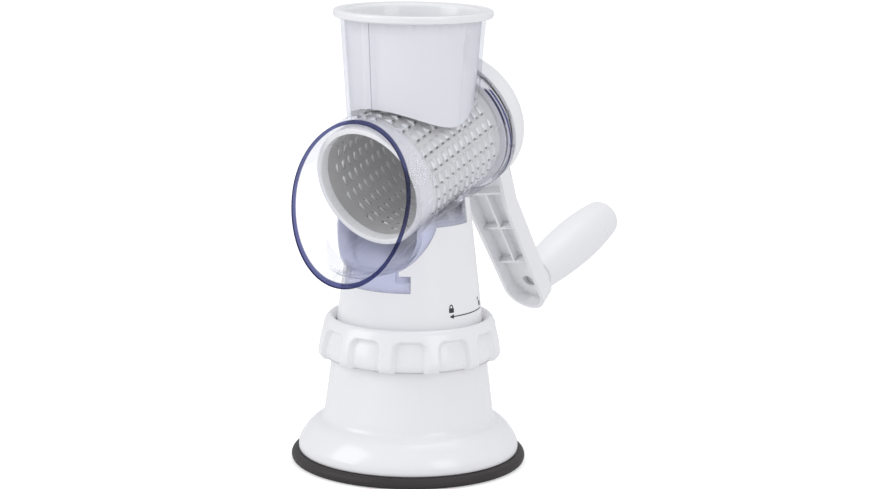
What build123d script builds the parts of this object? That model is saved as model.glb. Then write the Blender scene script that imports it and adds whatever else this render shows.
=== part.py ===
from build123d import *
from math import atan, cos, degrees, radians, sin, tan
import os

os.makedirs("parts", exist_ok=True)

# Hand cranked drum grater on a suction base. Millimetres and degrees, +Z up.
# The origin is the centre of the suction pad's underside. The drum's outlet
# faces -Y and the crank is at +Y.

# ---------------------------------------------------------------- driving sizes
# Suction pad and base
PAD_R = 63.0
PAD_H = 5.6
PAD_EDGE_ROUND = 1.9
PAD_BOSS_R = 18.0
PAD_BOSS_H = 3.2
PAD_SHOWS = 4.0
FLANGE_EDGE_H = 3.4
SHOULDER_INSET = 8.0
SHOULDER_H = 15.4
NECK_INSET = 12.9
NECK_H = 17.6
DECK_Z = 57.2
DECK_R = 41.5
DECK_T = 3.0
SHELL_WALL = 2.6
BASE_RIBS = 6
BASE_RIB_T = 2.2
BASE_RIB_TOP_DROP = 14.0

# Lifting gear inside the base
STUD_R = 5.0
STUD_FOOT_R = 15.0
STUD_FOOT_T = 2.6
SHAFT_GAP = 0.08
TUBE_WALL = 7.9
TUBE_BOTTOM_GAP = 6.0
TUBE_ABOVE_DECK = 18.8
PIN_R = 2.0
PIN_REACH = 19.0
PIN_SLOT_GAP = 0.25
LIFT = 3.0
LOCK_TURN = 47.0
RAMP_START = 10.0
RAMP_R = 16.6
RAMP_W = 4.0
RAMP_T = 3.8
RAMP_RISE = 0.6
PIN_RIDE = 0.12
WASHER_T = 1.0

# Lock ring
RING_GAP = 0.3
FLUTE_TURN = 6.7
RING_BOTTOM_R = 46.0
RING_SKIRT_R = 48.4
RING_R = 49.6
RING_TOP_R = 42.8
RING_BELLY_H = 3.4
RING_SHOULDER_R = 45.4
RING_SHOULDER_H = 18.4
RING_H = 22.3
RING_DISH = 3.2
RING_WEB_T = 3.6
FLUTES = 12
FLUTE_W = 17.8
FLUTE_DEPTH = 3.2
FLUTE_TOP_H = 16.4
FLUTE_ROUND = 4.6

# Column
COLUMN_PROUD = 1.6
COLUMN_FOOT_H = 8.0
COLUMN_CREASE_H = 19.2
COLUMN_TAPER = 0.12
COLUMN_TOP_Z = 152.0
COLUMN_WALL = 2.6
COLUMN_PLATE_T = 3.0
FLOOR_SCREWS = 3
FLOOR_SCREW_R = 1.5
FLOOR_SCREW_HEAD_R = 3.0
FLOOR_SCREW_HEAD_H = 2.0
FLOOR_SCREW_LEN = 10.0
FLOOR_SCREW_CIRCLE = 9.2
SEAT_GAP = 0.3
LEDGE_Z = 132.0
LEDGE_FRONT = 15.8
LEDGE_BACK = 7.2
WINDOW_Z = 98.0
WINDOW_H = 9.0
WINDOW_HALF_ANGLE = 37.0
NECK_HALF_ANGLE = 26.8
KEY_GAP = 0.3
KEY_NOTCH_H = 3.3
KEY_NOTCH_ANGLE = 2.8

# Barrel of the clear housing
AXIS_Z = 165.4
TILT = 18.5
BARREL_FRONT = 34.0
BARREL_LAP = 1.5
BARREL_BACK = 39.4
BARREL_DRAFT = 1.5
BARREL_R_BACK = 37.4
CLEAR_WALL = 2.0
BEAD_W = 2.2
BEAD_H = 0.5
LUGS = 11
LUG_ANGLE = 8.5
LUG_LEN = 3.4
LUG_T = 1.3
LUG_FIRST = 77.3

# Hopper
HOPPER_RIM_Z = 238.6
HOPPER_PROUD = 0.9
HOPPER_TAPER = 0.0728

# Outlet hood and the trough under the drum
RIM_Y = -52.9
RIM_Z = 148.7
RIM_LEAN = 10.9
RIM_PROUD = 0.6
RIM_UP = 40.5
RIM_DOWN = 46.3
RIM_BEAD = 0.5
HOOD_ROOT = 29.0
HOOD_STEP = 0.4
TROUGH_BACK = 20.0
TROUGH_BEND = 48.0
TROUGH_MOUTH = 66.0
TROUGH_NARROW = 9.4
TROUGH_DROP = 6.6
TROUGH_CORNER = 18.0
MOUTH_HALF_W = 19.0
MOUTH_DEPTH = 39.6
MOUTH_CORNER = 14.0
TROUGH_TOP = 8.0
SKIRT_BOTTOM_Z = 95.0
SKIRT_WALL = 2.2

# Pusher
PUSHER_GAP = 0.35
PUSHER_WALL = 1.8
PUSHER_FLARE = 1.8
PUSHER_FLARE_H = 2.6
PUSHER_RIM_OVER = 3.8
PUSHER_RIM_H = 4.1
PUSHER_RIM_ROUND = 1.4
PUSHER_SADDLE_GAP = 2.4
PUSHER_POCKET_GAP = 2.4
PUSHER_FLOOR = 2.2

# Drum
DRUM_ROOM = 1.9
DRUM_SHEET = 0.7
DRUM_BACK = 36.4
TOOTH_ROWS = 24
TEETH_PER_ROW = 11
TOOTH_PITCH = 5.2
TOOTH_LEN = 5.4
TOOTH_W = 2.2
TOOTH_ROW_START = 24.6
RING_LIP = 2.6
RING_LIP_BEVEL = 1.0
RING_FRONT = 39.4
DRUM_RING_PROUD = 1.1
DRUM_RING_LEN = 11.9
DRUM_RING_LIP = 5.1
HUB_WEB_T = 2.6
HUB_RIM_LEN = 6.0
HUB_RIM_T = 2.4
HUB_INSET = 1.2
HUB_BOSS_R = 9.5
HUB_BOSS_LEN = 12.0
HUB_SPOKES = 6
HUB_HOLE_R = 7.0

# Drive shaft and its bearing at the back of the barrel
SHAFT_R = 6.0
SHAFT_SQUARE = 8.4
PRESS_GAP = 0.02
PLATE_T = 2.2
PLATE_RIM_T = 1.6
PLATE_FRONT_GAP = 0.7
BUSH_WALL = 2.0
BUSH_FLANGE_R = 11.0
BUSH_FLANGE_T = 1.6
BUSH_LEN = 6.0

# Crank
HEAD_FRONT = 43.6
HEAD_PROUD = 0.2
HEAD_STRAIGHT = 4.0
HEAD_DEPTH = 16.4
HEAD_ROUND = 10.6
HEAD_ROOM = 0.8
HEAD_FRONT_GAP = 0.4
HEAD_WALL = 2.2
HEAD_BOSS_R = 11.5
HEAD_BOSS_GAP = 0.9
CRANK_MOUTH = 46.0
ARM_LEAN = 20.6
ARM_ROOT_R = 18.0
ARM_BEND_AT = 72.0
ARM_BEND_X = -13.8
ARM_BEND_R = 14.8
ARM_LENGTH = 148.8
ARM_END_X = -19.4
ARM_END_R = 13.3
ARM_POCKET = 8.0
ARM_WEB_T = 2.5
ARM_WALL = 2.2
ARM_RIB_T = 1.4
ARM_RIB_DROP = 3.4
ARM_CROSS_RIBS = 3
ARM_RIB_FIRST = 66.0
ARM_RIB_PITCH = 29.2
ARM_RIB_TILT = 12.5
ARM_BOSS_R = 10.0
ARM_BOSS_GAP = 0.6
GRIP_AT = 143.5
GRIP_BORE_R = 3.85
HUB_SCREW_R = 2.4
HUB_SCREW_HEAD_R = 4.4
HUB_SCREW_HEAD_H = 2.6
HUB_SCREW_LEN = 16.0
HUB_CAP_R = 10.5
HUB_CAP_T = 2.0

# Grip
GRIP_GAP = 0.4
GRIP_LEN = 78.0
GRIP_NECK_R = 10.6
GRIP_BELLY_R = 13.8
GRIP_TAIL_R = 11.4
GRIP_BELLY_AT = 0.58
GRIP_SPINDLE_R = 3.8
GRIP_SPINDLE_HEAD_R = 6.2
GRIP_SPINDLE_HEAD_T = 1.8
GRIP_PIN_RECESS = 3.0
GRIP_PLUG_R = 8.4
GRIP_PLUG_T = 2.4
GRIP_TAIL_WALL = 6.0
GRIP_TAIL_ROUND = 2.6
GRIP_NECK_SLOPE = 0.14
GRIP_TAIL_SLOPE = 0.3
RUN_GAP = 0.09

# ------------------------------------------------------------- worked-out sizes
FULL_TURN = 360
QUARTER_TURN = FULL_TURN / 4
COLUMN_R = BARREL_R_BACK + COLUMN_PROUD
BARREL_R_FRONT = BARREL_R_BACK - BARREL_DRAFT
HOPPER_R = BARREL_R_BACK + HOPPER_PROUD
RIM_HALF_W = BARREL_R_BACK + RIM_PROUD
TROUGH_HALF_W = BARREL_R_BACK - TROUGH_NARROW
TROUGH_DEPTH = BARREL_R_BACK + TROUGH_DROP
DRUM_R = BARREL_R_FRONT - CLEAR_WALL - DRUM_ROOM
RING_LIP_R = DRUM_R - RING_LIP
RING_LIP_FRONT_R = RING_LIP_R + RING_LIP_BEVEL
DRUM_RING_R = DRUM_R + DRUM_RING_PROUD
HEAD_R = BARREL_R_BACK + HEAD_PROUD
HEAD_BACK_R = HEAD_R - HEAD_ROUND
PUSHER_RIM_R = HOPPER_R + PUSHER_RIM_OVER
FLANGE_R = PAD_R - PAD_SHOWS
FLANGE_Z = PAD_H
SHOULDER_Z = FLANGE_Z + SHOULDER_H
NECK_Z = FLANGE_Z + NECK_H
NECK_R = FLANGE_R - NECK_INSET
PAD_TOP_Z = PAD_H + PAD_BOSS_H
TUBE_R = STUD_R + TUBE_WALL
TUBE_BOTTOM_Z = PAD_TOP_Z + STUD_FOOT_T + TUBE_BOTTOM_GAP
TUBE_TOP_Z = DECK_Z + TUBE_ABOVE_DECK
RING_Z = DECK_Z + RING_GAP
WEB_TOP_Z = RING_Z + RING_WEB_T
PIN_Z = WEB_TOP_Z + RAMP_RISE + PIN_R + PIN_RIDE
RAMP_PITCH = LIFT * FULL_TURN / LOCK_TURN
RAMP_H = LIFT * (LOCK_TURN + 2 * RAMP_START) / LOCK_TURN
COLUMN_BOTTOM_Z = RING_Z + COLUMN_FOOT_H
COLUMN_CREASE_Z = RING_Z + COLUMN_CREASE_H
PLATE_TOP_Z = TUBE_TOP_Z + COLUMN_PLATE_T
DRUM_INNER_R = DRUM_R - DRUM_SHEET
HEAD_BACK = HEAD_FRONT + HEAD_DEPTH
ROOM_R = HEAD_R + HEAD_ROOM
ROOM_FRONT = HEAD_FRONT - HEAD_FRONT_GAP
ARM_SLANT = (ARM_END_X - ARM_BEND_X) / (ARM_LENGTH - ARM_BEND_AT)
ARM_X = ARM_BEND_X + (GRIP_AT - ARM_BEND_AT) * ARM_SLANT
ARM_UP = -GRIP_AT * cos(radians(ARM_LEAN))
ARM_MOUTH = CRANK_MOUTH + GRIP_AT * sin(radians(ARM_LEAN))
ARM_FLOOR = ARM_MOUTH + ARM_POCKET / cos(radians(ARM_LEAN))
ARM_BACK = ARM_FLOOR + ARM_WEB_T / cos(radians(ARM_LEAN))
ARM_BOSS_BACK = ARM_BACK + ARM_BOSS_R * tan(radians(ARM_LEAN)) + ARM_BOSS_GAP
GRIP_FRONT = ARM_BOSS_BACK + GRIP_GAP

# Plane across the barrel at the centre of the base: x to the side, y up the
# barrel's section, z along the axis towards the outlet.
barrel = Plane(origin=(0, 0, AXIS_Z), x_dir=(1, 0, 0), z_dir=(0, -cos(radians(TILT)), -sin(radians(TILT))))
barrel_axis = Axis(barrel.origin, barrel.z_dir)
lengthways = Plane(origin=(0, 0, AXIS_Z), x_dir=barrel.z_dir, z_dir=(-1, 0, 0))
rim_plane = Plane(
    origin=(0, RIM_Y, RIM_Z), x_dir=(1, 0, 0), z_dir=(0, -cos(radians(RIM_LEAN)), sin(radians(RIM_LEAN)))
)


def save(model, label):
    """Give a finished piece its name and write it to its own file."""
    model.part.label = label
    export_step(model.part, f"parts/{label}.step")


def barrel_radius(along, inset=0.0):
    """Outside radius of the tapered barrel at a place along its axis, less an inset."""
    share = (BARREL_FRONT - along) / (BARREL_FRONT + BARREL_BACK)
    return BARREL_R_FRONT + (BARREL_R_BACK - BARREL_R_FRONT) * share - inset


def column_radius(z, inset=0.0):
    """Outside radius of the tapered column at a height, less an inset."""
    return COLUMN_R - COLUMN_TAPER * max(z - COLUMN_CREASE_Z, 0) - inset


def hopper_radius(z, inset=0.0):
    """Outside radius of the tapered hopper at a height, less an inset."""
    return HOPPER_R - HOPPER_TAPER * (HOPPER_RIM_Z - z) - inset


def turned(points, plane=Plane.XZ, axis=Axis.Z):
    """Solid of revolution whose half section runs through the points."""
    with BuildPart() as shape:
        with BuildSketch(plane):
            with BuildLine():
                Polyline(*points, close=True)
            make_face()
        revolve(axis=axis)
    return shape.part


def along_barrel(points):
    """Solid turned about the barrel's axis from points (along, radius)."""
    return turned(points, lengthways, barrel_axis)


def barrel_cone(front, back, inset):
    """Solid cone that follows the barrel's taper between two places."""
    return along_barrel(
        [(front, 0), (front, barrel_radius(front, inset)), (-back, barrel_radius(-back, inset)), (-back, 0)]
    )


def oval(half_w, up, down):
    """Closed oval whose upper and lower halves have their own heights."""
    with BuildLine() as outline:
        EllipticalCenterArc((0, 0), half_w, up, start_angle=0, arc_size=180)
        EllipticalCenterArc((0, 0), half_w, down, start_angle=180, arc_size=180)
    make_face(outline.edges())


def hood(inset, past, step):
    """Funnel from the barrel's front end, a step wider than it, to the leaning oval rim."""
    with BuildPart() as shape:
        with BuildSketch(barrel.offset(HOOD_ROOT)):
            root = barrel_radius(HOOD_ROOT, inset) + step
            oval(root, root, root)
        with BuildSketch(rim_plane.offset(past)):
            oval(RIM_HALF_W - inset, RIM_UP - inset, RIM_DOWN - inset)
        loft()
    return shape.part


def channel(half_w, depth, corner, inset):
    """U section of the trough, closed well inside the barrel."""
    with BuildLine() as outline:
        side = half_w - inset
        floor = -(depth - inset)
        bend = corner - inset
        Line((-side, -TROUGH_TOP), (side, -TROUGH_TOP))
        Line((side, -TROUGH_TOP), (side, floor + bend))
        CenterArc((side - bend, floor + bend), bend, 0, -90)
        Line((side - bend, floor), (bend - side, floor))
        CenterArc((bend - side, floor + bend), bend, -90, -90)
        Line((-side, floor + bend), (-side, -TROUGH_TOP))
    make_face(outline.edges())


def trough(inset):
    """Trough under the drum: a straight run, then a narrowing mouth."""
    with BuildPart() as shape:
        with BuildSketch(barrel.offset(TROUGH_BACK + inset)):
            channel(TROUGH_HALF_W, TROUGH_DEPTH, TROUGH_CORNER, inset)
        extrude(amount=TROUGH_BEND - TROUGH_BACK - inset)
        with BuildSketch(barrel.offset(TROUGH_BEND)):
            channel(TROUGH_HALF_W, TROUGH_DEPTH, TROUGH_CORNER, inset)
        with BuildSketch(barrel.offset(TROUGH_MOUTH)):
            channel(MOUTH_HALF_W, MOUTH_DEPTH, MOUTH_CORNER, inset)
        loft()
    return shape.part


def column_body(inset, bottom, top):
    """Solid that follows the column's outside less an inset."""
    heights = [bottom, COLUMN_CREASE_Z, top] if bottom < COLUMN_CREASE_Z < top else [bottom, top]
    side = [(column_radius(height, inset), height) for height in heights]
    return turned([(0, bottom), *side, (0, top)])


def behind_barrel(front, radius):
    """Solid cylinder on the barrel's axis from a place behind the barrel backwards."""
    back = front + radius + BARREL_BACK
    return along_barrel([(-front, 0), (-front, radius), (-back, radius), (-back, 0)])


def front_sector(half_angle, bottom, top):
    """Wedge about Z, centred on -Y, between two heights."""
    with BuildPart() as shape:
        with BuildSketch(Plane.XY.offset(bottom)):
            with BuildLine():
                reach = COLUMN_R * 2
                Line((0, 0), (reach * sin(radians(half_angle)), -reach * cos(radians(half_angle))))
                CenterArc((0, 0), reach, -90 + half_angle, -2 * half_angle)
                Line((-reach * sin(radians(half_angle)), -reach * cos(radians(half_angle))), (0, 0))
            make_face()
        extrude(amount=top - bottom)
    return shape.part


# ------------------------------------------------------------------ suction pad
with BuildPart() as suction_pad:
    Cylinder(PAD_R, PAD_H, align=(Align.CENTER, Align.CENTER, Align.MIN))
    chamfer(suction_pad.edges().group_by(Axis.Z)[0], PAD_EDGE_ROUND / 3)
    fillet(suction_pad.edges().group_by(Axis.Z)[-1], PAD_EDGE_ROUND)
    with Locations((0, 0, PAD_H)):
        Cylinder(PAD_BOSS_R, PAD_BOSS_H, align=(Align.CENTER, Align.CENTER, Align.MIN))
save(suction_pad, "suction_pad")

# ------------------------------------------------------------------- base shell
# A flared flange with a rounded shoulder, a narrow neck and a tapering cone,
# hollow, with a deck on top, a guide tube for the stud and radial ribs.
with BuildPart() as base_shell:
    for wall in (0.0, SHELL_WALL):
        low = FLANGE_Z - wall
        with BuildSketch(Plane.XZ):
            with BuildLine():
                edge = (FLANGE_R - wall, FLANGE_Z + FLANGE_EDGE_H)
                shoulder = (FLANGE_R - SHOULDER_INSET - wall, SHOULDER_Z - wall / 2)
                neck = (NECK_R - wall, NECK_Z - wall / 2)
                crown = (DECK_R - wall, DECK_Z - (DECK_T if wall else 0))
                Polyline((0, crown[1]), (0, low), (FLANGE_R - wall, low), edge)
                middle = (
                    (edge[0] + shoulder[0]) / 2 + SHOULDER_INSET / 4,
                    (edge[1] + shoulder[1]) / 2 + SHOULDER_INSET / 4,
                )
                ThreePointArc(edge, middle, shoulder)
                Polyline(shoulder, neck, crown, (0, crown[1]))
            make_face()
        revolve(axis=Axis.Z, mode=Mode.SUBTRACT if wall else Mode.ADD)
    with BuildSketch(Plane.XY.offset(TUBE_BOTTOM_Z)):
        Circle(TUBE_R)
    extrude(amount=TUBE_TOP_Z - TUBE_BOTTOM_Z)
    rib_top = DECK_Z - DECK_T / 2
    rib_bottom = NECK_Z + BASE_RIB_TOP_DROP
    rib_reach = DECK_R - SHELL_WALL / 2
    with BuildSketch(Plane.XY.offset(rib_bottom)):
        with PolarLocations((TUBE_R - SHELL_WALL / 2 + rib_reach) / 2, BASE_RIBS, start_angle=90 / BASE_RIBS):
            Rectangle(rib_reach - TUBE_R + SHELL_WALL / 2, BASE_RIB_T)
    extrude(amount=rib_top - rib_bottom)
    with BuildSketch(Plane.XY.offset(TUBE_BOTTOM_Z - SHELL_WALL)):
        Circle(STUD_R + SHAFT_GAP)
    extrude(amount=TUBE_TOP_Z, mode=Mode.SUBTRACT)
    slot_bottom = PIN_Z - PIN_R - PIN_SLOT_GAP
    slot_top = PIN_Z + LIFT + PIN_R + PIN_SLOT_GAP
    with Locations((0, 0, slot_bottom)):
        Box(
            2 * TUBE_R + SHELL_WALL,
            2 * (PIN_R + PIN_SLOT_GAP),
            slot_top - slot_bottom,
            align=(Align.CENTER, Align.CENTER, Align.MIN),
            mode=Mode.SUBTRACT,
        )
    with Locations((0, 0, TUBE_TOP_Z)):
        with PolarLocations(FLOOR_SCREW_CIRCLE, FLOOR_SCREWS, start_angle=90):
            Hole(FLOOR_SCREW_R, depth=FLOOR_SCREW_LEN)
save(base_shell, "base_shell")

# ------------------------------------------------------------------ lifting gear
with BuildPart() as lift_stud:
    with Locations((0, 0, PAD_TOP_Z)):
        Cylinder(STUD_FOOT_R, STUD_FOOT_T, align=(Align.CENTER, Align.CENTER, Align.MIN))
        Cylinder(STUD_R, PIN_Z + 3 * PIN_R - PAD_TOP_Z, align=(Align.CENTER, Align.CENTER, Align.MIN))
    with Locations(Location((0, 0, PIN_Z), (0, 90, 0))):
        Cylinder(PIN_R, 2 * TUBE_R, mode=Mode.SUBTRACT)
    fillet(lift_stud.edges().filter_by(GeomType.CIRCLE).group_by(Axis.Z)[0], STUD_FOOT_T / 4)
save(lift_stud, "lift_stud")

with BuildPart() as lift_pin:
    with Locations(Location((0, 0, PIN_Z), (0, 90, 0))):
        Cylinder(PIN_R, 2 * PIN_REACH)
    chamfer(lift_pin.edges().filter_by(GeomType.CIRCLE), PIN_R / 4)
save(lift_pin, "lift_pin")

with BuildPart() as stud_washer:
    with BuildSketch(Plane.XY.offset(PAD_TOP_Z + STUD_FOOT_T)):
        Circle(TUBE_R)
        Circle(STUD_R, mode=Mode.SUBTRACT)
    extrude(amount=WASHER_T)
save(stud_washer, "stud_washer")

# -------------------------------------------------------------------- lock ring
# Scalloped outside, a dished top round the column, and a web whose two
# helical ramps raise the cross pin as the ring turns.
ring_profile = [
    (RING_BOTTOM_R, 0),
    (RING_SKIRT_R, RING_BELLY_H / 4),
    (RING_R, RING_BELLY_H),
    (RING_SHOULDER_R, RING_SHOULDER_H),
    (RING_TOP_R, RING_H),
    (COLUMN_R + RING_GAP, RING_H - RING_DISH),
]
flute_profile = [(radius - FLUTE_DEPTH, height) for radius, height in ring_profile[:4]]
with BuildPart() as lock_ring:
    outside = [(radius, RING_Z + height) for radius, height in ring_profile]
    inside = [
        (COLUMN_R + RING_GAP, WEB_TOP_Z),
        (TUBE_R + RING_GAP, WEB_TOP_Z),
        (TUBE_R + RING_GAP, RING_Z),
    ]
    add(turned(outside + inside))
    with BuildPart(mode=Mode.PRIVATE) as flutes:
        low = RING_Z - SHELL_WALL
        with BuildSketch(Plane.XZ):
            with BuildLine():
                floor_line = [(radius, RING_Z + height) for radius, height in flute_profile[1:]]
                first = (flute_profile[1][0], low)
                Polyline(first, *floor_line, (RING_R * 2, floor_line[-1][1]), (RING_R * 2, low), close=True)
            make_face()
        revolve(axis=Axis.Z)
        with BuildPart(mode=Mode.PRIVATE) as arches:
            with BuildSketch(Plane.XZ):
                with Locations((0, (low + RING_Z + FLUTE_TOP_H) / 2)):
                    RectangleRounded(FLUTE_W, RING_Z + FLUTE_TOP_H - low, FLUTE_ROUND)
            extrude(amount=RING_R * 2)
        turned_arches = [
            arches.part.rotate(Axis.Z, FLUTE_TURN + FULL_TURN / FLUTES * step) for step in range(FLUTES)
        ]
        add(turned_arches, mode=Mode.INTERSECT)
    add(flutes.part, mode=Mode.SUBTRACT)
    ramp_low = WEB_TOP_Z + RAMP_RISE - LIFT * RAMP_START / LOCK_TURN - RAMP_T / 2
    for turn in (0, 180):
        with BuildPart(mode=Mode.PRIVATE) as ramp:
            with BuildLine() as path:
                Helix(RAMP_PITCH, RAMP_H, RAMP_R, center=(0, 0, ramp_low))
            start = Plane(origin=path.line @ 0, x_dir=(1, 0, 0), z_dir=path.line % 0)
            with BuildSketch(start):
                Rectangle(RAMP_W, RAMP_T)
            sweep(path=path.line, is_frenet=True)
        add(ramp.part.rotate(Axis.Z, turn - RAMP_START))
save(lock_ring, "lock_ring")

# ---------------------------------------------------------- column and its screws
# A tapering tube with a floor plate, a ledge at each side for the housing's
# shoulders, a window at the front for its key, and a scoop for barrel and trough.
scoop = [barrel_cone(BARREL_FRONT, BARREL_BACK * 2, -SEAT_GAP), trough(-SEAT_GAP)]
window_top = WINDOW_Z + WINDOW_H
with BuildPart() as column:
    add(column_body(0, COLUMN_BOTTOM_Z, COLUMN_TOP_Z))
    add(column_body(COLUMN_WALL, PLATE_TOP_Z, COLUMN_TOP_Z), mode=Mode.SUBTRACT)
    add(column_body(COLUMN_WALL, COLUMN_BOTTOM_Z, TUBE_TOP_Z), mode=Mode.SUBTRACT)
    add(scoop, mode=Mode.SUBTRACT)
    with Locations((0, (LEDGE_BACK - LEDGE_FRONT) / 2, LEDGE_Z)):
        Box(
            4 * COLUMN_R,
            LEDGE_FRONT + LEDGE_BACK,
            COLUMN_TOP_Z,
            align=(Align.CENTER, Align.CENTER, Align.MIN),
            mode=Mode.SUBTRACT,
        )
    with Locations((0, -LEDGE_FRONT, LEDGE_Z)):
        Box(
            4 * COLUMN_R,
            2 * COLUMN_R,
            COLUMN_TOP_Z,
            align=(Align.CENTER, Align.MAX, Align.MIN),
            mode=Mode.SUBTRACT,
        )
    add(front_sector(WINDOW_HALF_ANGLE, WINDOW_Z, window_top), mode=Mode.SUBTRACT)
    add(front_sector(NECK_HALF_ANGLE, WINDOW_Z, LEDGE_Z), mode=Mode.SUBTRACT)
    with Locations((0, 0, PLATE_TOP_Z)):
        with PolarLocations(FLOOR_SCREW_CIRCLE, FLOOR_SCREWS, start_angle=90):
            Hole(FLOOR_SCREW_R, depth=COLUMN_PLATE_T)
save(column, "column")

with BuildPart() as column_screws:
    with Locations((0, 0, PLATE_TOP_Z)):
        with PolarLocations(FLOOR_SCREW_CIRCLE, FLOOR_SCREWS, start_angle=90):
            Cylinder(
                FLOOR_SCREW_HEAD_R, FLOOR_SCREW_HEAD_H, align=(Align.CENTER, Align.CENTER, Align.MIN)
            )
            Cylinder(FLOOR_SCREW_R, FLOOR_SCREW_LEN, align=(Align.CENTER, Align.CENTER, Align.MAX))
save(column_screws, "column_screws")

# ---------------------------------------------------------------- clear housing
# One clear moulding: hopper, barrel, outlet hood with its oval rim, the trough
# under the drum, and the skirt, shoulders and key that seat it in the column.
skirt_inset = COLUMN_WALL + SEAT_GAP
key_half_angle = WINDOW_HALF_ANGLE - degrees(KEY_GAP / COLUMN_R)
tongue_half_angle = NECK_HALF_ANGLE - KEY_NOTCH_ANGLE
with BuildPart() as hopper_outer:
    add(turned([(0, AXIS_Z), (hopper_radius(AXIS_Z), AXIS_Z), (HOPPER_R, HOPPER_RIM_Z), (0, HOPPER_RIM_Z)]))
with BuildPart() as foot:
    add(column_body(skirt_inset, SKIRT_BOTTOM_Z, LEDGE_Z + SEAT_GAP))
    add(column_body(skirt_inset + SKIRT_WALL, SKIRT_BOTTOM_Z, LEDGE_Z + SEAT_GAP), mode=Mode.SUBTRACT)
    with BuildPart(mode=Mode.PRIVATE) as shoulders:
        add(column_body(0, LEDGE_Z + SEAT_GAP, COLUMN_TOP_Z))
        add(column_body(skirt_inset + SKIRT_WALL, LEDGE_Z, COLUMN_TOP_Z), mode=Mode.SUBTRACT)
        with Locations((0, (LEDGE_BACK - LEDGE_FRONT) / 2, LEDGE_Z)):
            Box(
                4 * COLUMN_R,
                LEDGE_FRONT + LEDGE_BACK - 2 * KEY_GAP,
                COLUMN_TOP_Z,
                align=(Align.CENTER, Align.CENTER, Align.MIN),
                mode=Mode.INTERSECT,
            )
    add(shoulders.part)
    with BuildPart(mode=Mode.PRIVATE) as key:
        add(front_sector(key_half_angle, WINDOW_Z + KEY_GAP, window_top - KEY_NOTCH_H))
        add(front_sector(tongue_half_angle, WINDOW_Z + KEY_GAP, LEDGE_Z))
        add(column_body(0, SKIRT_BOTTOM_Z, LEDGE_Z), mode=Mode.INTERSECT)
        add(column_body(skirt_inset + SKIRT_WALL / 2, SKIRT_BOTTOM_Z, LEDGE_Z), mode=Mode.SUBTRACT)
    add(key.part)
    with Locations((0, -LEDGE_FRONT, LEDGE_Z)):
        Box(
            4 * COLUMN_R,
            2 * COLUMN_R,
            COLUMN_TOP_Z,
            align=(Align.CENTER, Align.MAX, Align.MIN),
            mode=Mode.SUBTRACT,
        )
bead_back = -BARREL_BACK
bead_r = BARREL_R_BACK + BEAD_H
with BuildPart() as head_pocket:
    add(behind_barrel(ROOM_FRONT - CLEAR_WALL, ROOM_R + CLEAR_WALL))
    add(hopper_outer.part, mode=Mode.INTERSECT)
    add(barrel_cone(0, 2 * BARREL_BACK, CLEAR_WALL), mode=Mode.SUBTRACT)
with BuildPart() as clear_housing:
    add(barrel_cone(HOOD_ROOT + BARREL_LAP, BARREL_BACK, 0))
    bead_front = bead_back + BEAD_W
    add(along_barrel([(bead_back, 0), (bead_back, bead_r), (bead_front, bead_r), (bead_front, 0)]))
    add([hopper_outer.part, hood(0, 0, HOOD_STEP), trough(0), foot.part])
    with BuildPart(mode=Mode.PRIVATE) as lugs:
        with BuildSketch(barrel.offset(bead_back)):
            Circle(BARREL_R_BACK)
            Circle(BARREL_R_BACK - LUG_T, mode=Mode.SUBTRACT)
        extrude(amount=-LUG_LEN)
        with BuildPart(mode=Mode.PRIVATE) as teeth:
            with BuildSketch(barrel.offset(bead_back)):
                with PolarLocations(BARREL_R_BACK, LUGS, start_angle=90 - LUG_FIRST):
                    Rectangle(4 * LUG_T, BARREL_R_BACK * radians(LUG_ANGLE))
            extrude(amount=-LUG_LEN)
        add(teeth.part, mode=Mode.INTERSECT)
    add(lugs.part)
    add(barrel_cone(BARREL_FRONT + RIM_HALF_W, 2 * BARREL_BACK, CLEAR_WALL), mode=Mode.SUBTRACT)
    add([hood(CLEAR_WALL, RIM_BEAD, -HOOD_STEP), trough(CLEAR_WALL)], mode=Mode.SUBTRACT)
    hopper_low = AXIS_Z + CLEAR_WALL
    hopper_high = HOPPER_RIM_Z + CLEAR_WALL
    bore_low = hopper_radius(hopper_low, CLEAR_WALL)
    bore_high = hopper_radius(hopper_high, CLEAR_WALL)
    bore = [(0, hopper_low), (bore_low, hopper_low), (bore_high, hopper_high), (0, hopper_high)]
    add(turned(bore), mode=Mode.SUBTRACT)
    add(head_pocket.part)
    add(behind_barrel(ROOM_FRONT, ROOM_R), mode=Mode.SUBTRACT)
save(clear_housing, "clear_housing")

# ----------------------------------------------------------------------- pusher
# A hollow cup that slides down the hopper. Its floor follows the drum.
cup_top = HOPPER_RIM_Z + PUSHER_RIM_H
cup_gap = CLEAR_WALL + PUSHER_GAP


def below_pusher(floor):
    """Barrel and the pocket behind it, as the pusher's underside or its floor sees them."""
    pocket_front = ROOM_FRONT - CLEAR_WALL - PUSHER_POCKET_GAP - floor
    return [
        barrel_cone(BARREL_FRONT + RIM_HALF_W, 2 * BARREL_BACK, CLEAR_WALL - PUSHER_SADDLE_GAP - floor),
        behind_barrel(pocket_front, ROOM_R + CLEAR_WALL + PUSHER_POCKET_GAP + floor),
    ]


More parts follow.
